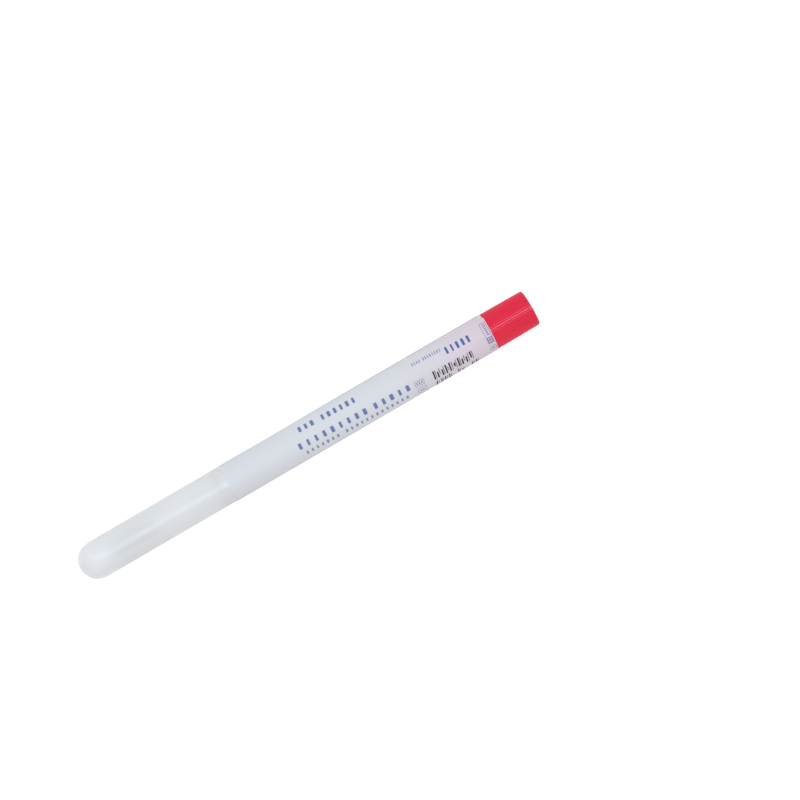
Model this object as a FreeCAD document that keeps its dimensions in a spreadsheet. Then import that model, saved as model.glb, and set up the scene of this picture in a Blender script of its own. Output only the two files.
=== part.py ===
"""Specimen swab tube: a capped plastic transport tube with a swab on a snappable shaft inside.

Five pieces, as they come apart on a bench:
  tube        round-bottomed polypropylene tube, with a slight draft in its bore
  label       film wrapped round the tube, with a bare strip between its two long edges
  cap         ribbed grip with a hollow sealing plug and a socket for the swab
  swab_shaft  plastic stick pressed into the cap's socket, with a neck where it snaps
  swab_tip    viscose bud wound on the far end of the shaft

The tube lies on its side. +X runs along its axis towards the cap, +Z is up, and the origin is
on the surface it lies on, under the middle of its length. Millimetres.

Each piece is drawn along its own local X axis, from the end named in its section, and its
Placement puts it where it sits in the closed tube.
"""
import FreeCAD, Part
import math
import os
import Sketcher
from FreeCAD import Placement, Rotation, Vector

# name, value in mm (or degrees, or a count), what it is
DIMENSIONS = [
    ("swab_length", 150, "end of the bud to end of the shaft"),
    ("swab_end_room", 9.7, "between the bud's end and the inside of the tube's round end"),
    ("tube_diameter", 12.5, "outside of the tube"),
    ("mouth_wall", 0.9, "wall of the tube at its rim"),
    ("base_wall", 1.1, "wall at the closed end, thicker by the draft of the bore"),
    ("rim_chamfer", 0.15, "on the rim's two edges"),
    ("label_length", 96, "along the tube"),
    ("label_thickness", 0.09, "film"),
    ("label_bond", 0.01, "adhesive between the film and the tube"),
    ("label_overhang", 0.1, "how far the label laps over the cap, past the rim"),
    ("label_gap", 2.4, "bare strip between the label's long edges"),
    ("label_corner", 1.2, "radius of the label's corners"),
    ("label_angle", 27, "degrees that the bare strip faces above level, on the +Y side"),
    ("grip_length", 15.3, "ribbed part of the cap"),
    ("grip_open_diameter", 12.4, "over the ribs, next to the rim"),
    ("grip_closed_diameter", 12.15, "over the ribs, at the closed end"),
    ("grip_edge", 0.2, "chamfer on the closed end's edge"),
    ("rib_count", 50, "ribs round the grip"),
    ("flute_depth", 0.2, "valley between two ribs, below their crests"),
    ("flute_width", 0.34, "valley between two ribs, from crest to crest"),
    ("end_band", 0.7, "plain band between the ribs and the closed end"),
    ("plug_length", 9, "part of the cap inside the tube"),
    ("plug_clearance", 0.05, "between the plug's beads and the bore, each side"),
    ("plug_wall", 1.1, "wall of the plug"),
    ("plug_lead", 0.6, "lead-in chamfer at the plug's end"),
    ("bead_height", 0.2, "how far the sealing beads stand off the plug"),
    ("bead_width", 1.0, "foot of a bead, along the plug"),
    ("bead_crest", 0.4, "flat top of a bead, along the plug"),
    ("bead_pitch", 3.4, "between the two sealing beads"),
    ("bead_seat", 2.4, "from the rim to the first bead"),
    ("cap_end_wall", 1.4, "thickness of the cap's closed end"),
    ("boss_wall", 0.9, "wall of the socket's boss"),
    ("boss_recess", 0.8, "from the plug's end to the boss's mouth"),
    ("socket_depth", 19, "how deep the swab sits in its boss"),
    ("socket_clearance", 0.02, "between shaft and socket, each side"),
    ("shaft_diameter", 2.5, "plastic stick"),
    ("shaft_chamfer", 0.3, "at both ends of the stick"),
    ("snap_distance", 80, "end of the bud to the middle of the snap neck"),
    ("snap_neck_diameter", 1.5, "what is left at the neck"),
    ("snap_neck_length", 0.6, "of the thin part"),
    ("snap_groove_width", 1.8, "over the neck and its two slopes"),
    ("tip_length", 17, "of the bud"),
    ("tip_diameter", 5.2, "of the bud at its widest"),
    ("tip_nose_radius", 2.3, "of the bud's round nose"),
    ("tip_nose_wall", 2.5, "fibre beyond the end of the shaft"),
    ("tip_belly_start", 5, "end of the bud to the start of its widest part"),
    ("tip_belly_end", 9, "end of the bud to the end of its widest part"),
    ("tip_heel_diameter", 4.1, "of the bud where its shoulder starts"),
    ("tip_shoulder", 0.9, "slope from the heel down to the shaft, along it"),
]

doc = FreeCAD.newDocument("specimen_swab_tube")
sheet = doc.addObject("Spreadsheet::Sheet", "dims")
for row, (alias, number, note) in enumerate(DIMENSIONS, start=1):
    sheet.set(f"A{row}", note)
    sheet.set(f"B{row}", str(number))
    sheet.setAlias(f"B{row}", alias)
doc.recompute()

# Expressions that several pieces share, so that what fits together is sized by the same cells.
# The tube is as long as the swab that hangs in it from the cap needs.
TUBE_LENGTH = (
    "(dims.swab_length - dims.boss_recess - dims.socket_depth + dims.plug_length"
    " + dims.swab_end_room + dims.base_wall)"
)
TUBE_RADIUS = "(dims.tube_diameter / 2)"
BORE_DRAFT = f"(dims.base_wall - dims.mouth_wall) / ({TUBE_LENGTH} - {TUBE_RADIUS})"
BORE_RADIUS = f"({TUBE_RADIUS} - dims.mouth_wall)"
BEAD_TOP = f"({BORE_RADIUS} - dims.plug_length * {BORE_DRAFT} - dims.plug_clearance)"
PLUG_RADIUS = f"({BEAD_TOP} - dims.bead_height)"
SHAFT_RADIUS = "dims.shaft_diameter / 2"
SOCKET_RADIUS = f"({SHAFT_RADIUS} + dims.socket_clearance)"
CAP_LENGTH = "(dims.plug_length + dims.grip_length)"
GRIP_DRAFT = "(dims.grip_open_diameter - dims.grip_closed_diameter) / 2 / dims.grip_length"

# Where each piece sits along X, and how high the axis lies above the surface.
LABEL_RADIUS = f"({TUBE_RADIUS} + dims.label_bond + dims.label_thickness)"
AXIS_HEIGHT = LABEL_RADIUS
CLOSED_END = f"-({TUBE_LENGTH} + dims.grip_length) / 2"
RIM = f"({CLOSED_END} + {TUBE_LENGTH})"
PLUG_END = f"({RIM} - dims.plug_length)"
SHAFT_TOP = f"({PLUG_END} + dims.boss_recess + dims.socket_depth)"
SWAB_END = f"({SHAFT_TOP} - dims.swab_length)"

BEYOND = 1.0  # how far a cutting tool reaches past what it cuts


def value(expression):
    """The number that an expression over the sheet's cells has now."""
    result = sheet.evalExpression(expression)
    return float(getattr(result, "Value", result))


def new_body(name, along, turn="0"):
    """A body on the tube's axis, whose local origin sits at `along` on X, turned about X."""
    body = doc.addObject("PartDesign::Body", name)
    body.Label = name
    body.Placement = Placement(Vector(0, 0, 0), Rotation(Vector(1, 0, 0), value(turn)))
    body.setExpression("Placement.Base.x", along)
    body.setExpression("Placement.Base.z", AXIS_HEIGHT)
    return body


def origin_feature(body, role):
    """One of the body's own origin planes or axes."""
    return next(f for f in body.Origin.OriginFeatures if f.Role == role)


class Outline:
    """A sketch on one of a body's origin planes, with its sizes bound to the sheet."""

    def __init__(self, body, name, plane="XY_Plane", shift=None):
        self.sketch = body.newObject("Sketcher::SketchObject", name)
        self.sketch.AttachmentSupport = [(origin_feature(body, plane), "")]
        self.sketch.MapMode = "FlatFace"
        if shift:
            self.sketch.setExpression("AttachmentOffset.Base.z", shift)

    def line(self, start, end):
        return self.sketch.addGeometry(Part.LineSegment(Vector(*start), Vector(*end)), False)

    def arc(self, centre, start, end):
        """An arc that turns anticlockwise from start to end."""
        centre, start, end = Vector(*centre), Vector(*start), Vector(*end)
        circle = Part.Circle(centre, Vector(0, 0, 1), (start - centre).Length)
        return self.sketch.addGeometry(
            Part.ArcOfCircle(circle, circle.parameter(start), circle.parameter(end)), False
        )

    def disc(self, x, y, radius):
        """A circle at a place and of a radius given as expressions."""
        circle = Part.Circle(Vector(value(x), value(y), 0), Vector(0, 0, 1), value(radius))
        ring = self.sketch.addGeometry(circle, False)
        self.place(ring, 3, x, y)
        self.size("Radius", ring, to=radius)

    def constrain(self, kind, *where):
        return self.sketch.addConstraint(Sketcher.Constraint(kind, *where))

    def size(self, kind, *where, to):
        """A dimensional constraint that follows an expression."""
        index = self.constrain(kind, *where, value(to))
        self.sketch.setExpression(f"Constraints[{index}]", to)

    def place(self, geometry, point, x, y):
        """Ties a point of the sketch to (x, y), measured from the sketch's origin."""
        for kind, to, axis in (("DistanceX", x, -2), ("DistanceY", y, -1)):
            if to == "0":
                self.constrain("PointOnObject", geometry, point, axis)
            elif value(to) > 0:
                self.size(kind, -1, 1, geometry, point, to=to)
            else:
                self.size(kind, geometry, point, -1, 1, to=f"-({to})")

    def loop(self, *corners):
        """A closed outline through corners (x, y) given as expressions.

        A corner with a third expression, a radius, starts an arc to the next corner: less than a
        half turn, anticlockwise, or clockwise for a negative radius. The others start a line.
        """
        points = [Vector(value(x), value(y), 0) for x, y, *_ in corners]
        pieces = []
        for (_, _, *arc), start, end in zip(corners, points, points[1:] + points[:1]):
            if not arc:
                pieces.append((self.line(start, end), 1, 2))
                continue
            radius = value(arc[0])
            half = (end - start) / 2
            rise = math.copysign(math.sqrt(radius**2 - half.Length**2), radius)
            centre = start + half + Vector(-half.y, half.x, 0).normalize() * rise
            if radius > 0:
                pieces.append((self.arc(centre, start, end), 1, 2))
            else:
                pieces.append((self.arc(centre, end, start), 2, 1))
            self.size("Radius", pieces[-1][0], to=f"abs({arc[0]})")
        for (x, y, *_), (one, first, last), (following, begin, _) in zip(
            corners, pieces, pieces[1:] + pieces[:1]
        ):
            self.constrain("Coincident", one, last, following, begin)
            self.place(one, first, x, y)


def feature(body, kind, name, **settings):
    """A PartDesign feature with its properties set, where a string is an expression to follow."""
    made = body.newObject(f"PartDesign::{kind}", name)
    for key, setting in settings.items():
        if isinstance(setting, str):
            made.setExpression(key, setting)
        else:
            setattr(made, key, setting)
    doc.recompute()
    return made


def turned(body, name, outline, kind="Revolution"):
    """The outline turned once round the body's X axis."""
    return feature(
        body, kind, name,
        Profile=(outline.sketch, [""]),
        ReferenceAxis=(origin_feature(body, "X_Axis"), [""]),
        Angle=360.0,
    )


def rings_at(body, along, *radii):
    """Names of the body's circular edges of these radii, square to X at `along` (local)."""
    names = []
    shape = body.Tip.Shape
    for number, edge in enumerate(shape.Edges, start=1):
        box = edge.BoundBox
        if box.XLength < 1e-4 and abs(box.XMin - along) < 1e-3:
            if any(abs(box.YMax - radius) < 1e-3 for radius in radii):
                names.append(f"Edge{number}")
    return names


def make_tube():
    """Local X from the closed end's pole to the rim."""
    body = new_body("tube", CLOSED_END)
    length, radius, bore = (value(v) for v in (TUBE_LENGTH, TUBE_RADIUS, BORE_RADIUS))
    base_wall = value("dims.base_wall")

    outline = Outline(body, "tube_section")
    outer_end = outline.arc((radius, 0, 0), (radius, radius, 0), (0, 0, 0))
    outer = outline.line((radius, radius, 0), (length, radius, 0))
    rim = outline.line((length, radius, 0), (length, bore, 0))
    inner = outline.line((length, bore, 0), (radius, radius - base_wall, 0))
    inner_end = outline.arc((radius, 0, 0), (radius, radius - base_wall, 0), (base_wall, 0, 0))
    pole = outline.line((base_wall, 0, 0), (0, 0, 0))
    outline.constrain("PointOnObject", outer_end, 3, -1)
    outline.constrain("Tangent", outer_end, 1, outer, 1)
    outline.constrain("Horizontal", outer)
    outline.constrain("Coincident", outer, 2, rim, 1)
    outline.constrain("Vertical", rim)
    outline.constrain("Coincident", rim, 2, inner, 1)
    outline.constrain("Tangent", inner_end, 1, inner, 2)
    outline.constrain("Coincident", inner_end, 3, outer_end, 3)
    outline.constrain("Coincident", inner_end, 2, pole, 1)
    outline.constrain("PointOnObject", pole, 1, -1)
    outline.constrain("Coincident", outer_end, 2, pole, 2)
    outline.constrain("Coincident", pole, 2, -1, 1)
    outline.place(outer, 2, TUBE_LENGTH, TUBE_RADIUS)
    outline.size("DistanceY", rim, 2, rim, 1, to="dims.mouth_wall")
    outline.size("DistanceX", pole, 2, pole, 1, to="dims.base_wall")
    doc.recompute()
    turned(body, "tube_shell", outline)
    feature(
        body, "Chamfer", "rim_edges",
        Base=(body.Tip, rings_at(body, length, radius, bore)),
        Size="dims.rim_chamfer",
    )
    return body


def make_label():
    """Local X from the label's lower edge to its edge at the cap. The bare strip faces local +Y."""
    body = new_body(
        "label", f"{RIM} + dims.label_overhang - dims.label_length", turn="dims.label_angle"
    )
    ring = Outline(body, "film_section", plane="YZ_Plane")
    ring.disc("0", "0", f"{LABEL_RADIUS} - dims.label_thickness")
    ring.disc("0", "0", LABEL_RADIUS)
    doc.recompute()
    feature(body, "Pad", "film_sleeve", Profile=(ring.sketch, [""]), Length="dims.label_length")

    # The strip between the long edges, which widens round the four rounded corners.
    edge = "dims.label_gap / 2"
    flare = "(dims.label_gap / 2 + dims.label_corner)"
    strip = Outline(body, "bare_strip", plane="XZ_Plane")
    strip.loop(
        (f"-{BEYOND}", f"-{flare}"),
        ("0", f"-{flare}", "-dims.label_corner"),
        ("dims.label_corner", f"-{edge}"),
        ("dims.label_length - dims.label_corner", f"-{edge}", "-dims.label_corner"),
        ("dims.label_length", f"-{flare}"),
        (f"dims.label_length + {BEYOND}", f"-{flare}"),
        (f"dims.label_length + {BEYOND}", flare),
        ("dims.label_length", flare, "-dims.label_corner"),
        ("dims.label_length - dims.label_corner", edge),
        ("dims.label_corner", edge, "-dims.label_corner"),
        ("0", flare),
        (f"-{BEYOND}", flare),
    )
    doc.recompute()
    feature(body, "Pocket", "strip_cut", Profile=(strip.sketch, [""]), Type=1)
    return body


def make_cap():
    """Local X from the plug's open end to the cap's closed end."""
    body = new_body("cap", PLUG_END)
    hollow_radius = f"({PLUG_RADIUS} - dims.plug_wall)"
    boss_radius = f"({SOCKET_RADIUS} + dims.boss_wall)"
    hollow_end = f"{CAP_LENGTH} - dims.cap_end_wall"
    socket_end = "dims.boss_recess + dims.socket_depth"

    outline = Outline(body, "cap_section")
    outline.loop(
        ("0", hollow_radius),
        ("0", f"{PLUG_RADIUS} - dims.plug_lead / 2"),
        ("dims.plug_lead", PLUG_RADIUS),
        ("dims.plug_length", PLUG_RADIUS),
        ("dims.plug_length", "dims.grip_open_diameter / 2"),
        (CAP_LENGTH, "dims.grip_closed_diameter / 2"),
        (CAP_LENGTH, "0"),
        (socket_end, "0"),
        (socket_end, SOCKET_RADIUS),
        ("dims.boss_recess", SOCKET_RADIUS),
        ("dims.boss_recess", boss_radius),
        (hollow_end, boss_radius),
        (hollow_end, hollow_radius),
    )
    doc.recompute()
    turned(body, "cap_blank", outline)
    feature(
        body, "Chamfer", "closed_end_edge",
        Base=(body.Tip, rings_at(body, value(CAP_LENGTH), value("dims.grip_closed_diameter / 2"))),
        Size="dims.grip_edge",
    )

    # Two beads seal the plug against the bore.
    bead_middle = "(dims.plug_length - dims.bead_seat)"
    inside = f"({PLUG_RADIUS} - dims.plug_wall / 2)"
    bead = Outline(body, "bead_section")
    bead.loop(
        (f"{bead_middle} - dims.bead_width / 2", inside),
        (f"{bead_middle} + dims.bead_width / 2", inside),
        (f"{bead_middle} + dims.bead_width / 2", PLUG_RADIUS),
        (f"{bead_middle} + dims.bead_crest / 2", BEAD_TOP),
        (f"{bead_middle} - dims.bead_crest / 2", BEAD_TOP),
        (f"{bead_middle} - dims.bead_width / 2", PLUG_RADIUS),
    )
    doc.recompute()
    first_bead = turned(body, "sealing_bead", bead)
    body.Tip = feature(
        body, "LinearPattern", "sealing_beads",
        Originals=[first_bead],
        Direction=(origin_feature(body, "X_Axis"), [""]),
        Reversed=True,
        Length="dims.bead_pitch",
        Occurrences=2,
    )

    # One V-shaped flute along the tapered grip, repeated to leave the ribs between.
    sections = []
    for name, along in (
        ("flute_start", f"dims.plug_length - {BEYOND}"),
        ("flute_end", f"{CAP_LENGTH} - dims.end_band"),
    ):
        crest = f"(dims.grip_open_diameter / 2 - ({along} - dims.plug_length) * {GRIP_DRAFT})"
        section = Outline(body, name, plane="YZ_Plane", shift=along)
        section.loop(
            ("0", f"{crest} - dims.flute_depth"),
            ("dims.flute_width", f"{crest} + dims.flute_depth"),
            ("-dims.flute_width", f"{crest} + dims.flute_depth"),
        )
        sections.append(section)
    doc.recompute()
    flute = feature(
        body, "SubtractiveLoft", "flute",
        Profile=(sections[0].sketch, [""]),
        Sections=[(sections[1].sketch, [""])],
        Ruled=True,
    )
    body.Tip = feature(
        body, "PolarPattern", "flutes",
        Originals=[flute],
        Axis=(origin_feature(body, "X_Axis"), [""]),
        Angle=360.0,
        Occurrences="dims.rib_count",
    )
    return body


def make_shaft():
    """Local X from the end inside the bud to the end in the cap's socket."""
    body = new_body("swab_shaft", f"{SWAB_END} + dims.tip_nose_wall")
    length = "dims.swab_length - dims.tip_nose_wall"
    radius = value(SHAFT_RADIUS)

    section = Outline(body, "shaft_section", plane="YZ_Plane")
    section.disc("0", "0", SHAFT_RADIUS)
    doc.recompute()
    feature(body, "Pad", "stick", Profile=(section.sketch, [""]), Length=length)
    feature(
        body, "Chamfer", "stick_ends",
        Base=(body.Tip, rings_at(body, 0, radius) + rings_at(body, value(length), radius)),
        Size="dims.shaft_chamfer",
    )

    snap = "(dims.snap_distance - dims.tip_nose_wall)"
    neck = "dims.snap_neck_diameter / 2"
    groove = Outline(body, "snap_section")
    groove.loop(
        (f"{snap} - dims.snap_neck_length / 2", neck),
        (f"{snap} + dims.snap_neck_length / 2", neck),
        (f"{snap} + dims.snap_groove_width / 2", SHAFT_RADIUS),
        (f"{snap} + dims.snap_groove_width / 2", f"{SHAFT_RADIUS} + {BEYOND}"),
        (f"{snap} - dims.snap_groove_width / 2", f"{SHAFT_RADIUS} + {BEYOND}"),
        (f"{snap} - dims.snap_groove_width / 2", SHAFT_RADIUS),
    )
    doc.recompute()
    turned(body, "snap_neck", groove, kind="Groove")
    return body


def make_tip():
    """Local X from the bud's nose to its shoulder on the shaft."""
    body = new_body("swab_tip", SWAB_END)
    outline = Outline(body, "bud_section")
    outline.loop(
        ("0", "0", "-dims.tip_nose_radius"),
        ("dims.tip_nose_radius", "dims.tip_nose_radius"),
        ("dims.tip_belly_start", "dims.tip_diameter / 2"),
        ("dims.tip_belly_end", "dims.tip_diameter / 2"),
        ("dims.tip_length - dims.tip_shoulder", "dims.tip_heel_diameter / 2"),
        ("dims.tip_length", SHAFT_RADIUS),
        ("dims.tip_nose_wall", SHAFT_RADIUS),
        ("dims.tip_nose_wall", "0"),
    )
    doc.recompute()
    turned(body, "bud", outline)
    return body


def check(body):
    """Stops the build if a piece is missing, broken or not closed."""
    for made in body.Group:
        if {"Invalid", "Error"} & set(made.State):
            raise RuntimeError(f"{body.Label}: {made.Label} failed")
        if made.isDerivedFrom("Sketcher::SketchObject") and not made.FullyConstrained:
            raise RuntimeError(f"{body.Label}: sketch {made.Label} is loose")
    shape = body.Shape
    if shape.isNull() or not shape.isValid() or not shape.Solids:
        raise RuntimeError(f"{body.Label} has no valid solid")


pieces = [make_tube(), make_label(), make_cap(), make_shaft(), make_tip()]
doc.recompute()
for piece in pieces:
    check(piece)

os.makedirs("parts", exist_ok=True)
for piece in pieces:
    piece.Shape.exportStep(f"parts/{piece.Label}.step")
    box = piece.Shape.optimalBoundingBox()
    print(
        f"{piece.Label:11s} {len(piece.Shape.Solids)} solid {piece.Shape.Volume:9.2f} mm3"
        f"  x {box.XMin:8.2f} to {box.XMax:8.2f}  z {box.ZMin:6.2f} to {box.ZMax:6.2f}"
    )
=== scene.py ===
"""Looks of the specimen swab tube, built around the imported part. Metres, +Z up, cap towards +X."""
import math
import random

import bpy
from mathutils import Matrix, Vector


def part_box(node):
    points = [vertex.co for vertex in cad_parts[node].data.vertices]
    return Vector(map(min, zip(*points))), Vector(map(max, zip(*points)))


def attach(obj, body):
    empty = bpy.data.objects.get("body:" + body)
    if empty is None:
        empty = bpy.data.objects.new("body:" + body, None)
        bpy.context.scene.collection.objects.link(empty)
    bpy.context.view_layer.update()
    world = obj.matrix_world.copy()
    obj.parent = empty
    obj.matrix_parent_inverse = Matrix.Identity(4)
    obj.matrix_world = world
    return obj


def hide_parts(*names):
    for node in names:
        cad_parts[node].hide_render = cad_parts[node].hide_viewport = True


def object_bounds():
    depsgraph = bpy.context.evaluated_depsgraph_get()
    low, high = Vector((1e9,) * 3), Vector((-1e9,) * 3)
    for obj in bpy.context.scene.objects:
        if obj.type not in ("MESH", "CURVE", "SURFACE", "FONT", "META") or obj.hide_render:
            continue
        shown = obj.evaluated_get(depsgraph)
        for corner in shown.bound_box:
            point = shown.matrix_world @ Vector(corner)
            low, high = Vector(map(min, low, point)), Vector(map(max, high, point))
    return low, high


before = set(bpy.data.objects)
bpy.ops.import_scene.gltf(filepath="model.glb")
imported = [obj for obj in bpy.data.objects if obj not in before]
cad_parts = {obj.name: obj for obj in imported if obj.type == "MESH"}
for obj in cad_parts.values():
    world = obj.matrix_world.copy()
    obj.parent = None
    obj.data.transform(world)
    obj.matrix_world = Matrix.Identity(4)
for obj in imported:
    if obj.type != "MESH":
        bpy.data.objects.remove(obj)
cad_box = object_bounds()
random.seed(7)

MM = 0.001
label_low, label_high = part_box("label")
bud_low, bud_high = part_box("swab_tip")
AXIS = (label_low.z + label_high.z) / 2  # height of the tube's axis
FILM = (label_high.z - label_low.z) / 2  # outside radius of the label's film


# ---------------------------------------------------------------- materials Every piece's own
# coordinates are the frame's at rest.

def new_material(name, **settings):
    """A material whose Principled shader has these inputs. Returns it with its nodes and links."""
    made = bpy.data.materials.new(name)
    made.use_nodes = True
    nodes, links = made.node_tree.nodes, made.node_tree.links
    shader = nodes["Principled BSDF"]
    for key, setting in settings.items():
        shader.inputs[key.replace("_", " ")].default_value = setting
    return made, nodes, links, shader


def noise(nodes, links, scale, detail, stretch=None):
    """A noise texture in the object's own coordinates, with stretch as their scale."""
    where = nodes.new("ShaderNodeTexCoord")
    texture = nodes.new("ShaderNodeTexNoise")
    texture.inputs["Scale"].default_value = scale
    texture.inputs["Detail"].default_value = detail
    if stretch:
        mapping = nodes.new("ShaderNodeMapping")
        mapping.inputs["Scale"].default_value = stretch
        links.new(where.outputs["Object"], mapping.inputs["Vector"])
        links.new(mapping.outputs["Vector"], texture.inputs["Vector"])
    else:
        links.new(where.outputs["Object"], texture.inputs["Vector"])
    return texture.outputs["Fac"]


def ranged(nodes, links, source, low, high, start=0.0, end=1.0):
    """source, from start to end, turned into low to high."""
    node = nodes.new("ShaderNodeMapRange")
    for key, setting in (("From Min", start), ("From Max", end), ("To Min", low), ("To Max", high)):
        node.inputs[key].default_value = setting
    links.new(source, node.inputs["Value"])
    return node.outputs["Result"]


def combined(nodes, links, operation, one, other):
    """Two outputs brought together by a Math node."""
    node = nodes.new("ShaderNodeMath")
    node.operation = operation
    links.new(one, node.inputs[0])
    links.new(other, node.inputs[1])
    return node.outputs["Value"]


def vector_math(nodes, links, operation, one, other=None):
    """A Vector Math node of one output and, where it takes two, a vector or another output."""
    node = nodes.new("ShaderNodeVectorMath")
    node.operation = operation
    links.new(one, node.inputs[0])
    if isinstance(other, tuple):
        node.inputs[1].default_value = other
    elif other is not None:
        links.new(other, node.inputs[1])
    return node


def bump(nodes, links, shader, height, distance, strength):
    """Relief in the shader's normal. distance is in metres."""
    node = nodes.new("ShaderNodeBump")
    node.inputs["Distance"].default_value = distance
    node.inputs["Strength"].default_value = strength
    links.new(height, node.inputs["Height"])
    links.new(node.outputs["Normal"], shader.inputs["Normal"])


def blend_colours(nodes, links, factor, one, other):
    """one where factor is 0 and other where it is 1. Each is a colour or an output."""
    node = nodes.new("ShaderNodeMix")
    node.data_type = "RGBA"
    links.new(factor, node.inputs["Factor"])
    for socket, colour in ((node.inputs[6], one), (node.inputs[7], other)):
        if isinstance(colour, tuple):
            socket.default_value = (*colour, 1)
        else:
            links.new(colour, socket)
    return node.outputs[2]


def along(nodes, links):
    """The object coordinate along the tube, in metres."""
    where = nodes.new("ShaderNodeTexCoord")
    split = nodes.new("ShaderNodeSeparateXYZ")
    links.new(where.outputs["Object"], split.inputs["Vector"])
    return split.outputs["X"]


def facing_out(nodes, links):
    """1 where the surface faces straight away from the tube's axis, and less in the flutes."""
    where = nodes.new("ShaderNodeTexCoord")
    place = vector_math(nodes, links, "SUBTRACT", where.outputs["Object"], (0, 0, AXIS))
    across = vector_math(nodes, links, "MULTIPLY", place.outputs["Vector"], (0, 1, 1))
    outward = vector_math(nodes, links, "NORMALIZE", across.outputs["Vector"]).outputs["Vector"]
    return vector_math(
        nodes, links, "DOT_PRODUCT", where.outputs["Normal"], outward
    ).outputs["Value"]


# Where the painted red light from the cap begins and ends, on the film and the tube.
GLOW_START, GLOW_END = 36 * MM, 2 * MM  # before the film's edge at the cap


def painted_cap_glow(nodes, links):
    """0 to 1 towards the cap: a painted glow of red light from the cap, which gives white surfaces
    near it a faint red cast.
    """
    start, end = label_high.x - GLOW_START, label_high.x - GLOW_END
    return ranged(nodes, links, along(nodes, links), 0.0, 1.0, start, end)


def cap_material():
    """Red moulded plastic, glossy on the crests of its ribs and duller in the flutes."""
    made, nodes, links, shader = new_material(
        "red_plastic", IOR=1.49, Specular_IOR_Level=0.24, Specular_Tint=(0.45, 0.85, 1, 1),
    )
    mottle = noise(nodes, links, 90, 2)
    links.new(
        blend_colours(nodes, links, mottle, (0.735, 0.0225, 0.058), (0.81, 0.0295, 0.071)),
        shader.inputs["Base Color"],
    )
    grain = noise(nodes, links, 2600, 3)
    on_crests = ranged(nodes, links, grain, 0.2, 0.3)
    more_in_flutes = ranged(nodes, links, facing_out(nodes, links), 0.4, 0.0, 0.82, 0.98)
    links.new(combined(nodes, links, "ADD", on_crests, more_in_flutes), shader.inputs["Roughness"])
    bump(nodes, links, shader, grain, 0.000006, 0.5)
    return made


CLEARING = 3 * MM  # past the film's far end, over which the tube grows translucent


def tube_material():
    """Milky plastic that shows the bud softly past the film, and white where film backs it, with
    painted red light from the cap near it.
    """
    made, nodes, links, shader = new_material(
        "frosted_polypropylene", IOR=1.49, Transmission_Weight=0.35,
    )
    film_end = label_low.x
    links.new(
        ranged(nodes, links, along(nodes, links), 0.6, 1.0, film_end - CLEARING, film_end),
        shader.inputs["Alpha"],
    )
    haze = noise(nodes, links, 60, 3)
    plain = blend_colours(nodes, links, haze, (0.90, 0.93, 0.96), (0.95, 0.965, 0.98))
    # Painted red light from the cap: the milky plastic turns pink towards the cap.
    links.new(
        blend_colours(nodes, links, painted_cap_glow(nodes, links), plain, (0.98, 0.88, 0.95)),
        shader.inputs["Base Color"],
    )
    grain = noise(nodes, links, 1500, 4)
    links.new(ranged(nodes, links, grain, 0.26, 0.42), shader.inputs["Roughness"])
    bump(nodes, links, shader, grain, 0.00001, 0.4)
    return made


def label_material():
    """White film with a faint fibre in it, and painted red light from the cap near it."""
    made, nodes, links, shader = new_material("label_film", IOR=1.45, Specular_IOR_Level=0.25)
    # The film's own bluish white, turning pinkish towards the cap: painted red light from the cap.
    film_and_painted_glow = blend_colours(
        nodes, links, painted_cap_glow(nodes, links), (0.67, 0.705, 0.76), (0.68, 0.60, 0.685)
    )
    fibre = noise(nodes, links, 900, 4, (0.5, 1, 1))
    faint = ranged(nodes, links, fibre, 0.0, 0.06)
    links.new(
        blend_colours(nodes, links, faint, film_and_painted_glow, (0.55, 0.57, 0.62)),
        shader.inputs["Base Color"],
    )
    links.new(ranged(nodes, links, fibre, 0.48, 0.62), shader.inputs["Roughness"])
    bump(nodes, links, shader, fibre, 0.00001, 0.35)
    return made


def ink_material(name, colour, thin):
    """Printing ink that lets a little of the film through where it is thin."""
    made, nodes, links, shader = new_material(name, IOR=1.45, Specular_IOR_Level=0.25)
    patchy = noise(nodes, links, 3500, 3)
    links.new(
        blend_colours(nodes, links, ranged(nodes, links, patchy, 0, 1, 0.45, 0.75), colour, thin),
        shader.inputs["Base Color"],
    )
    links.new(ranged(nodes, links, patchy, 0.35, 0.55), shader.inputs["Roughness"])
    return made


def shaft_material():
    """White plastic with faint flow lines along the stick."""
    made, nodes, links, shader = new_material("white_polystyrene", IOR=1.55)
    flow = noise(nodes, links, 400, 3, (0.1, 1, 1))
    links.new(
        blend_colours(nodes, links, flow, (0.80, 0.80, 0.78), (0.86, 0.86, 0.85)),
        shader.inputs["Base Color"],
    )
    links.new(ranged(nodes, links, flow, 0.25, 0.4), shader.inputs["Roughness"])
    bump(nodes, links, shader, flow, 0.00002, 0.3)
    return made


def bud_material():
    """Soft white fibre."""
    made, nodes, links, shader = new_material(
        "viscose", Roughness=0.9, Sheen_Weight=0.4, Sheen_Roughness=0.4,
    )
    fibre = noise(nodes, links, 1400, 5, (1, 0.4, 0.4))
    links.new(
        blend_colours(nodes, links, fibre, (0.85, 0.85, 0.84), (0.96, 0.96, 0.95)),
        shader.inputs["Base Color"],
    )
    bump(nodes, links, shader, fibre, 0.00004, 0.6)
    return made


# ------------------------------------------------------------------ meshes

class Mesh:
    """Collects closed shells, and makes one piece of them."""

    def __init__(self):
        self.points, self.faces = [], []

    def add(self, points, faces):
        first = len(self.points)
        self.points += points
        self.faces += [tuple(first + i for i in face) for face in faces]

    def piece(self, name, body, material, smooth=True):
        mesh = bpy.data.meshes.new(name)
        mesh.from_pydata(self.points, [], self.faces)
        mesh.validate()
        mesh.materials.append(material)
        made = bpy.data.objects.new(name, mesh)
        bpy.context.collection.objects.link(made)
        if smooth:
            mesh.shade_smooth()
        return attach(made, body)


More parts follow.
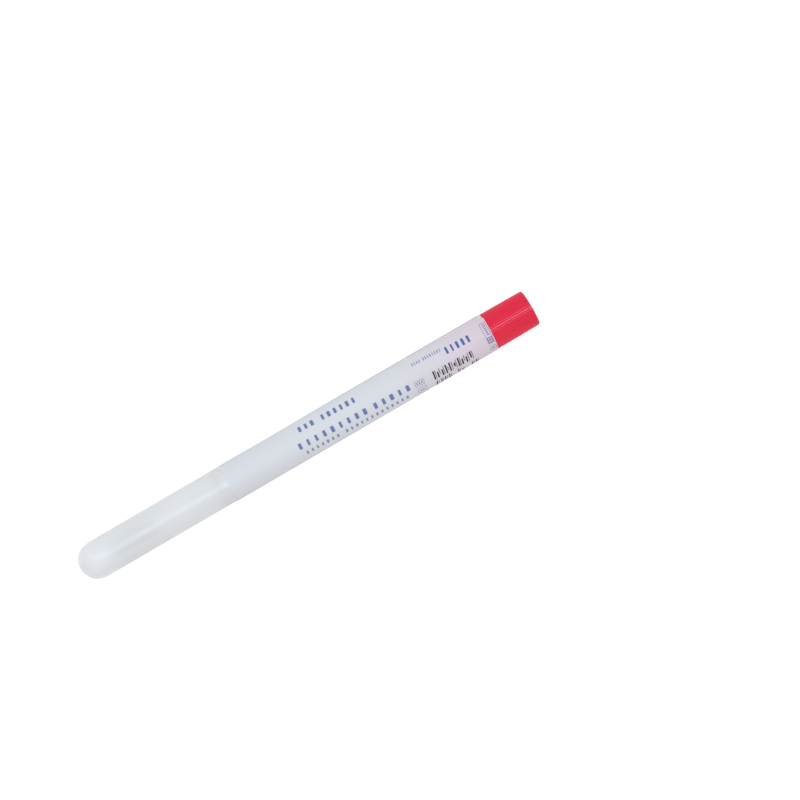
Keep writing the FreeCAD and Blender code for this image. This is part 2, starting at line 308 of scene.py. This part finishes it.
def quarter_steps(radius, count):
    """Distances from a straight edge at which a round corner gets its points."""
    return [radius * (1 - math.cos(math.pi / 2 * i / count)) for i in range(count + 1)]


def corner_inset(radius, from_edge):
    """How far a round corner draws the side in, from_edge from the straight edge."""
    short = max(radius - from_edge, 0.0)
    return radius - math.sqrt(max(radius**2 - short**2, 0.0))


def on_tube(x, psi, radius):
    """A point psi degrees from straight up, towards -Y, round the tube's axis."""
    turn = math.radians(psi)
    return (x, -radius * math.sin(turn), AXIS + radius * math.cos(turn))


SKEW = math.radians(1.9)  # the film was wrapped a little askew


def on_label(s, psi, radius):
    """A point of the skewed film, s mm from its edge at the cap and psi degrees round it."""
    arc = math.radians(psi) * FILM
    along_tube = s * MM * math.cos(SKEW) + arc * math.sin(SKEW)
    round_tube = arc * math.cos(SKEW) - s * MM * math.sin(SKEW)
    return on_tube(label_high.x - along_tube, math.degrees(round_tube / FILM), radius)


# ------------------------------------------------------------------- label

FILM_THICKNESS = 0.09 * MM
GAP = 2.4 * MM  # width of the bare strip
GAP_MIDDLE = -61.5  # degrees from straight up to the bare strip, at the cap
CORNER = 1.2 * MM
UNEVEN = 0.004 * MM  # the film is never quite even
EDGE_LIFT = 0.02 * MM  # its long edges lift a hair where it was cut,
EDGE_LIFT_WIDTH = 0.35 * MM  # and lie down again within about this width
FILM_ROWS = 180  # facets round the film


def film_columns(length):
    """Distances from the cap's end, from the far one to 0, closer together at the corners."""
    corner_steps, middle_steps = 6, 46
    near = quarter_steps(CORNER, corner_steps)
    middle = [CORNER + (length - 2 * CORNER) * i / middle_steps for i in range(1, middle_steps)]
    far = [length - s for s in reversed(near)]
    return (near + middle + far)[::-1]


def film_radius(s, psi, from_edge):
    """Radius of the film's outside, s mm from the cap's end and from_edge from a long edge."""
    wave = math.sin(0.9 * s + 3 * math.sin(psi / 40)) * math.sin(psi / 13)
    return FILM + UNEVEN * (wave - 1) + EDGE_LIFT * math.exp(-from_edge / EDGE_LIFT_WIDTH)


def sheet_faces(columns, rows):
    """Faces of a closed sheet: its outside, its inside, its long edges and its ends."""
    wide = rows + 1
    base = columns * wide  # the first point of the inside
    faces = []
    for i in range(columns - 1):
        for j in range(rows):
            a, b = i * wide + j, i * wide + j + 1
            c, d = a + wide, b + wide
            faces += [(a, b, d, c), (base + a, base + c, base + d, base + b)]
    for i in range(columns - 1):
        for j, turn in ((0, 1), (rows, -1)):
            a, c = i * wide + j, (i + 1) * wide + j
            faces.append((a, c, base + c, base + a)[::turn])
    for j in range(rows):
        for i, turn in ((0, -1), (columns - 1, 1)):
            a, b = i * wide + j, i * wide + j + 1
            faces.append((a, b, base + b, base + a)[::turn])
    return faces


def make_label(material):
    """The film as one closed shell, finer than the CAD's, with its rounded corners."""
    length = label_high.x - label_low.x
    reach = math.pi * FILM - GAP / 2  # half the film's width, measured round the tube
    columns = film_columns(length)
    outer, inner = [], []
    for s in columns:
        half = reach - corner_inset(CORNER, min(s, length - s))
        for j in range(FILM_ROWS + 1):
            share = 2 * j / FILM_ROWS - 1  # -1 to 1, from one long edge to the other
            psi = GAP_MIDDLE + 180 + math.degrees(share * half / FILM)
            from_edge = (1 - abs(share)) * reach
            outer.append(on_label(s / MM, psi, film_radius(s / MM, psi, from_edge)))
            inner.append(on_label(s / MM, psi, FILM - FILM_THICKNESS))
    mesh = Mesh()
    mesh.add(outer + inner, sheet_faces(len(columns), FILM_ROWS))
    film = mesh.piece("label_film", "tube_body", material)
    film.data.set_sharp_from_angle(angle=math.radians(40))
    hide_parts("label")


# ------------------------------------------------------------------- print
# s and psi are as in on_label. Other lengths are in mm, but the radii INK and INK_FOOT in metres.

INK = FILM + 0.012 * MM  # the ink stands a little proud of the film
INK_FOOT = FILM - 0.012 * MM  # and its underside is in it
INK_STEP = 0.35  # between points round the tube, so that a bar follows the film


def plate(mesh, rows):
    """A thin closed plate of ink. rows are (psi, left s, right s), in order of psi."""
    points = [
        on_label(s, psi, radius) for radius in (INK, INK_FOOT) for psi, *ends in rows for s in ends
    ]
    n = len(rows)

    def top(i, side):
        return 2 * i + side

    def under(i, side):
        return 2 * (n + i) + side

    faces = [(top(0, 0), top(0, 1), under(0, 1), under(0, 0))]
    for i in range(n - 1):
        faces += [
            (top(i, 0), top(i + 1, 0), top(i + 1, 1), top(i, 1)),
            (under(i, 0), under(i, 1), under(i + 1, 1), under(i + 1, 0)),
            (top(i, 1), top(i + 1, 1), under(i + 1, 1), under(i, 1)),
            (top(i, 0), under(i, 0), under(i + 1, 0), top(i + 1, 0)),
        ]
    faces.append((top(n - 1, 1), top(n - 1, 0), under(n - 1, 0), under(n - 1, 1)))
    mesh.add(points, faces)


def block(mesh, s0, s1, psi0, psi1, corner=0.0):
    """A bar of ink from s0 to s1 and psi0 to psi1, with round corners of up to corner mm."""
    straight = 0.01  # least straight length left beside a corner
    height = math.radians(psi1 - psi0) * FILM / MM
    corner = min(corner, height / 2 - straight, (s1 - s0) / 2 - straight)
    near = quarter_steps(corner, 4) if corner > 0 else [0.0]
    between = height - 2 * near[-1]
    count = max(1, round(between / INK_STEP))
    middle = [near[-1] + between * i / count for i in range(1, count)]
    far = [height - a for a in reversed(near)]
    rows = []
    for a in near + middle + far:
        inset = corner_inset(corner, min(a, height - a))
        rows.append((psi0 + math.degrees(a * MM / FILM), s1 - inset, s0 + inset))
    plate(mesh, rows)


def outline_box(mesh, s0, s1, psi0, psi1, line):
    """Four bars round a box."""
    turn = math.degrees(line * MM / FILM)
    block(mesh, s0, s1, psi0, psi0 + turn)
    block(mesh, s0, s1, psi1 - turn, psi1)
    block(mesh, s0, s0 + line, psi0 + turn, psi1 - turn)
    block(mesh, s1 - line, s1, psi0 + turn, psi1 - turn)


def round_points(s, psi, radii, sides):
    """Circles of ink: one for each radius on its top, and then the same on its foot."""
    points = []
    for height in (INK, INK_FOOT):
        for radius in radii:
            for i in range(sides):
                a = 2 * math.pi * i / sides
                round_film = psi + math.degrees(radius * math.sin(a) * MM / FILM)
                points.append(on_label(s + radius * math.cos(a), round_film, height))
    return points


def dot(mesh, s, psi, radius, sides):
    """A round dot of ink."""
    n = sides
    faces = [tuple(range(n - 1, -1, -1)), tuple(range(n, 2 * n))]
    faces += [(i, (i + 1) % n, n + (i + 1) % n, n + i) for i in range(n)]
    mesh.add(round_points(s, psi, (radius,), sides), faces)


def ring(mesh, s, psi, radius, line, sides):
    """A round line of ink."""
    n = sides
    faces = []
    for i in range(n):
        j = (i + 1) % n
        faces += [
            (i, n + i, n + j, j),
            (2 * n + i, 2 * n + j, 3 * n + j, 3 * n + i),
            (i, j, 2 * n + j, 2 * n + i),
            (n + i, 3 * n + i, 3 * n + j, n + j),
        ]
    mesh.add(round_points(s, psi, (radius, radius - line), sides), faces)


def row_of_blocks(mesh, s, words, psi0, psi1, pitch, ink, space=0.75):
    """Words as rows of blocks, read from s towards the cap.

    words are counts of blocks. ink is the share of the pitch that a block takes, and space the
    gap between two words, in pitches.
    """
    corner = pitch * ink / 4
    for count in words:
        for _ in range(count):
            wide = pitch * ink * random.uniform(0.75, 1.15)
            middle = s - pitch / 2
            block(mesh, middle - wide / 2, middle + wide / 2, psi0, psi1, corner)
            s -= pitch
        s -= pitch * space


DOT_CELL = 1.478  # from one pair of strokes to the next
DOT_TURN = 4.15  # degrees from one dot of a stroke to the next
DOT_LEAN = 0.03  # how much further from the cap each dot of a stroke is than the one before
MIDDLE_DOT = 3  # the one that stands where the stroke does
BROAD_DOT, FINE_DOT = 0.29, 0.18  # radii
STROKE_STARTS, STROKE_ENDS = (0, 0, 0, 2), (7, 7, 7, 5)  # most are seven dots high, some shorter


def dot_row(mesh, groups, psi0, size):
    """Upright strokes of ink-jet dots, a broad and a fine one to a cell. groups are (s, cells)."""
    for s, count in groups:
        for _ in range(count):
            for radius, offset in ((BROAD_DOT, random.uniform(0.3, 0.5)), (FINE_DOT, 1.05)):
                first, last = random.choice(STROKE_STARTS), random.choice(STROKE_ENDS)
                for row in range(first, last):
                    where = s - offset + (row - MIDDLE_DOT) * DOT_LEAN
                    psi = psi0 + row * DOT_TURN + random.uniform(-0.3, 0.3)
                    dot(mesh, where, psi, radius * size, 8)
            s -= DOT_CELL


def print_words(blue, dark, small, pale):
    """The rows that run along the tube."""
    row_of_blocks(blue, 69.2, [3, 6], -16.7, 1.7, pitch=2.2, ink=0.5)
    row_of_blocks(blue, 71.85, [9, 5], 29.1, 48.3, pitch=2.9, ink=0.385, space=0.33)
    row_of_blocks(small, 70.05, [7, 13], 60.3, 73.0, pitch=1.83, ink=0.39)
    row_of_blocks(pale, 27.5, [4, 8], -22.0, -11.6, pitch=0.84, ink=0.44)
    row_of_blocks(dark, 16.25, [5], -16.8, 5.1, pitch=1.93, ink=0.44)


LINE = 0.16  # width of the lines round most boxes


def print_symbols(pale):
    """Two small boxes, one with three bars in it and one with a dash."""
    outline_box(pale, 26.07, 29.3, 32.5, 50.7, LINE)
    for s in (26.85, 27.68, 28.5):
        block(pale, s - 0.2, s + 0.2, 37.0, 46.0, 0.08)
    outline_box(pale, 26.05, 29.2, 58.5, 82.0, LINE)
    block(pale, 26.8, 28.5, 68.0, 72.0, 0.1)


def print_end_marks(glow_tinted_marks):
    """The framed box and the round mark at the cap's end, blue print made violet by painted red
    light from the cap.
    """
    outline_box(glow_tinted_marks, 0.32, 2.45, -29.1, 38.7, LINE)
    for i in range(6):
        psi = -24.0 + 6.5 * i
        block(glow_tinted_marks, 0.85, 1.7, psi, psi + 3.6, 0.12)
    outline_box(glow_tinted_marks, 0.55, 2.2, 18.6, 36.2, 0.3)
    block(glow_tinted_marks, 1.1, 1.65, 23.6, 31.2, 0.12)
    ring(glow_tinted_marks, 1.35, 57.5, 1.12, 0.17, 36)
    dot(glow_tinted_marks, 1.35, 57.5, 0.36, 16)


def make_print():
    """All the print, with one piece for each ink."""
    blue, dark, small, pale, glow_tinted_marks, black = (Mesh() for _ in range(6))
    print_words(blue, dark, small, pale)
    print_symbols(pale)
    print_end_marks(glow_tinted_marks)
    dot_row(black, [(22.9, 10)], 31.0, 1.0)
    dot_row(black, [(22.7, 4), (15.0, 2), (9.9, 2)], 68.5, 0.85)
    for mesh, name, colour, thin in (
        (blue, "print_blue", (0.135, 0.195, 0.415), (0.17, 0.235, 0.465)),
        (dark, "print_dark_blue", (0.08, 0.13, 0.36), (0.105, 0.165, 0.41)),
        (small, "print_small", (0.215, 0.255, 0.4), (0.265, 0.305, 0.45)),
        (pale, "print_pale", (0.21, 0.28, 0.48), (0.28, 0.35, 0.53)),
        # Blue print near the cap, made violet by painted red light from the cap.
        (glow_tinted_marks, "print_glow_tinted", (0.22, 0.175, 0.35), (0.29, 0.24, 0.42)),
        (black, "print_black", (0.02, 0.006, 0.006), (0.04, 0.018, 0.018)),
    ):
        mesh.piece(name, "tube_body", ink_material(name, colour, thin), smooth=False)


# --------------------------------------------------------------------- bud
# t is in mm from the bud's nose, and turn in radians round it.

NOSE_RADIUS = 2.3
BUD_PROFILE = [  # (t, radius) from the end of the round nose to the shaft
    (NOSE_RADIUS, NOSE_RADIUS), (5.0, 2.6), (9.0, 2.6),
    (13.0, 2.32), (16.1, 2.05), (16.75, 1.6), (17.0, 1.26),
]
FIRST_FIBRE, LAST_FIBRE = 0.05, 16.9  # no fibre reaches past these


def bud_radius(t):
    """Radius in mm."""
    if t <= NOSE_RADIUS:
        return math.sqrt(max(NOSE_RADIUS**2 - (NOSE_RADIUS - t) ** 2, 0.0))
    for (t0, r0), (t1, r1) in zip(BUD_PROFILE, BUD_PROFILE[1:]):
        if t <= t1:
            return r0 + (r1 - r0) * (t - t0) / (t1 - t0)
    return BUD_PROFILE[-1][1]


def on_bud(t, turn, out):
    """A point out mm outside the bud's outline."""
    r = max(bud_radius(t) + out, 0.0) * MM
    return (bud_low.x + t * MM, r * math.sin(turn), AXIS + r * math.cos(turn))


def on_fibre(t, turn, out):
    """A point of a fibre, kept between the nose and the shaft."""
    return on_bud(min(max(t, FIRST_FIBRE), LAST_FIBRE), turn, out)


def add_core(mesh):
    """The wound body of the bud, ribbed by its winding and a little lumpy, under the fibres."""
    rings, sides, sunk = 110, 96, 0.1
    length = (bud_high.x - bud_low.x) / MM
    points, faces = [(bud_low.x, 0, AXIS)], []
    for i in range(1, rings + 1):
        t = length * (i / rings) ** 1.25  # closer together at the nose
        for j in range(sides):
            turn = 2 * math.pi * j / sides
            twist = 0.035 * math.sin(9 * turn + 2.1 * t) + 0.025 * math.sin(14 * turn - 3.3 * t + 1)
            lump = 0.05 * math.sin(2 * turn + t * 0.6) * math.sin(t * 0.9)
            points.append(on_bud(t, turn, twist + lump - sunk))
    for j in range(sides):
        faces.append((0, 1 + (j + 1) % sides, 1 + j))
        for i in range(rings - 1):
            a, b = 1 + i * sides + j, 1 + i * sides + (j + 1) % sides
            faces.append((a, b, b + sides, a + sides))
    faces.append(tuple(1 + (rings - 1) * sides + j for j in range(sides)))
    mesh.add(points, faces)


SIDEWAYS = Vector((0.31, 0.2, 0.93))  # settles how the sides of a fibre are turned


def add_fibre(mesh, path, thick):
    """A three-sided fibre along path, tapered and closed at both ends. All in metres."""
    points, faces = [], []
    for i, p in enumerate(path):
        before, after = path[max(i - 1, 0)], path[min(i + 1, len(path) - 1)]
        way = (Vector(after) - Vector(before)).normalized()
        side = way.cross(SIDEWAYS).normalized()
        up = side.cross(way)
        taper = 0.35 if i in (0, len(path) - 1) else 1.0
        for k in range(3):
            a = 2 * math.pi * k / 3
            offset = (side * math.cos(a) + up * math.sin(a)) * thick * taper
            points.append(tuple(Vector(p) + offset))
    for i in range(len(path) - 1):
        for k in range(3):
            a, b = 3 * i + k, 3 * i + (k + 1) % 3
            faces.append((a, b, b + 3, a + 3))
    last = 3 * (len(path) - 1)
    faces += [(2, 1, 0), (last, last + 1, last + 2)]
    mesh.add(points, faces)


def add_wound_fibres(mesh, count):
    """Fibres laid round the core, most of them one way."""
    for _ in range(count):
        t, turn = random.uniform(0.15, 16.6), random.uniform(0, 2 * math.pi)
        step_t = random.uniform(0.12, 0.4) * random.choice((-1, 1))
        step_turn = random.uniform(0.10, 0.26) * random.choice((-1, 1, 1))
        out = random.uniform(-0.05, 0.02)
        path = []
        for i in range(8):
            path.append(on_fibre(t, turn, out + 0.03 * math.sin(i * 0.45 * math.pi)))
            t += step_t
            turn += step_turn
        add_fibre(mesh, path, random.uniform(0.012, 0.022) * MM)


def add_stray_fibres(mesh, count):
    """Thin fibres that stand off the bud in low arches."""
    for _ in range(count):
        t, turn = random.uniform(0.5, 16.5), random.uniform(0, 2 * math.pi)
        lean, rise = random.uniform(-0.3, 0.3), random.uniform(0.1, 0.4)
        path = [
            on_fibre(t + lean * i * 0.4, turn + 0.09 * i, rise * math.sin(i / 6 * 2.2))
            for i in range(7)
        ]
        add_fibre(mesh, path, 0.008 * MM)


def make_bud(material):
    """Wound fibre: a ribbed core with hundreds of fibres laid round it and some strays."""
    mesh = Mesh()
    add_core(mesh)
    add_wound_fibres(mesh, 1500)
    add_stray_fibres(mesh, 120)
    bud = mesh.piece("wound_bud", "swab", material)
    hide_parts("swab_tip")


# ------------------------------------------------------------------- stage

def make_floor():
    """A pale floor that looks brighter to the camera and through the tube than it is."""
    bpy.ops.mesh.primitive_plane_add(size=6, location=(0, 0, -0.02 * MM))
    floor = bpy.context.object
    floor.name = "floor"
    made, nodes, links, shader = new_material(
        "floor_white", Base_Color=(0.8, 0.8, 0.8, 1), Roughness=0.9,
    )
    path = nodes.new("ShaderNodeLightPath")
    seen = combined(
        nodes, links, "MAXIMUM", path.outputs["Is Camera Ray"], path.outputs["Is Transmission Ray"]
    )
    glow = nodes.new("ShaderNodeEmission")
    links.new(ranged(nodes, links, seen, 0.0, 0.5), glow.inputs["Strength"])
    total = nodes.new("ShaderNodeAddShader")
    links.new(shader.outputs[0], total.inputs[0])
    links.new(glow.outputs[0], total.inputs[1])
    links.new(total.outputs[0], nodes["Material Output"].inputs["Surface"])
    floor.data.materials.append(made)


def make_world():
    """Even white light from all round."""
    world = bpy.data.worlds.new("studio")
    bpy.context.scene.world = world
    world.use_nodes = True
    background = world.node_tree.nodes["Background"]
    background.inputs["Color"].default_value = (1, 1, 1, 1)
    background.inputs["Strength"].default_value = 0.72


def lamp(name, place, size, power, colour=(1, 1, 1), lights=True, shines=True):
    """A round lamp aimed at the tube.

    lights is whether it brightens matt surfaces, and shines whether smooth ones show a highlight
    of it.
    """
    data = bpy.data.lights.new(name, "AREA")
    data.shape = "DISK"
    data.size = size
    data.energy = power
    data.color = colour
    made = bpy.data.objects.new(name, data)
    bpy.context.collection.objects.link(made)
    made.location = place
    made.rotation_euler = (-Vector(place)).to_track_quat("-Z", "Y").to_euler()
    made.visible_diffuse = made.visible_transmission = lights
    made.visible_glossy = shines


def make_lamps():
    """Places and sizes are in metres, and powers in watts."""
    lamp("key", (0.06, -0.13, 1.3), 0.38, 2.6, (0.93, 0.97, 1))
    lamp("glint", (0.06, -0.04, 1.3), 0.78, 8.0, (0.38, 0.7, 1), lights=False)
    lamp("fill", (-0.6, 1.0, 1.0), 0.9, 4.6, shines=False)
    lamp("warm", (0.3, -1.0, 0.8), 0.9, 1.65, (1, 0.72, 0.63), shines=False)


AZIMUTH, ELEVATION = math.radians(-30.3), math.radians(85)  # of the camera, as seen from the tube
DISTANCE = 0.9
AIM_RIGHT, AIM_UP = 29.79 * MM, 12.04 * MM  # from the tube's middle to the picture's middle
LENS, SENSOR = 127.4, 36  # mm


def make_camera():
    """The view of the photograph, from nearly straight above."""
    back = Vector((
        math.sin(AZIMUTH) * math.cos(ELEVATION),
        -math.cos(AZIMUTH) * math.cos(ELEVATION),
        math.sin(ELEVATION),
    ))
    right = Vector((math.cos(AZIMUTH), math.sin(AZIMUTH), 0))
    up = back.cross(right)
    data = bpy.data.cameras.new("camera")
    data.sensor_width = SENSOR
    data.lens = LENS
    data.clip_start, data.clip_end = 0.01, 20
    camera = bpy.data.objects.new("camera", data)
    bpy.context.collection.objects.link(camera)
    bpy.context.scene.camera = camera
    middle = (cad_box[0] + cad_box[1]) / 2
    camera.location = middle + right * AIM_RIGHT + up * AIM_UP + back * DISTANCE
    camera.rotation_mode = "QUATERNION"
    camera.rotation_quaternion = (-back).to_track_quat("-Z", "Y")


# ---------------------------------------------------------------- assembly

def dress(node, material):
    """Gives a CAD node this material alone."""
    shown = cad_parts[node]
    shown.data.materials.clear()
    shown.data.materials.append(material)


dress("cap", cap_material())
dress("tube", tube_material())
dress("swab_shaft", shaft_material())
make_label(label_material())
make_print()
make_bud(bud_material())
make_floor()
make_world()
make_lamps()
make_camera()
bpy.context.scene.view_settings.view_transform = "Standard"
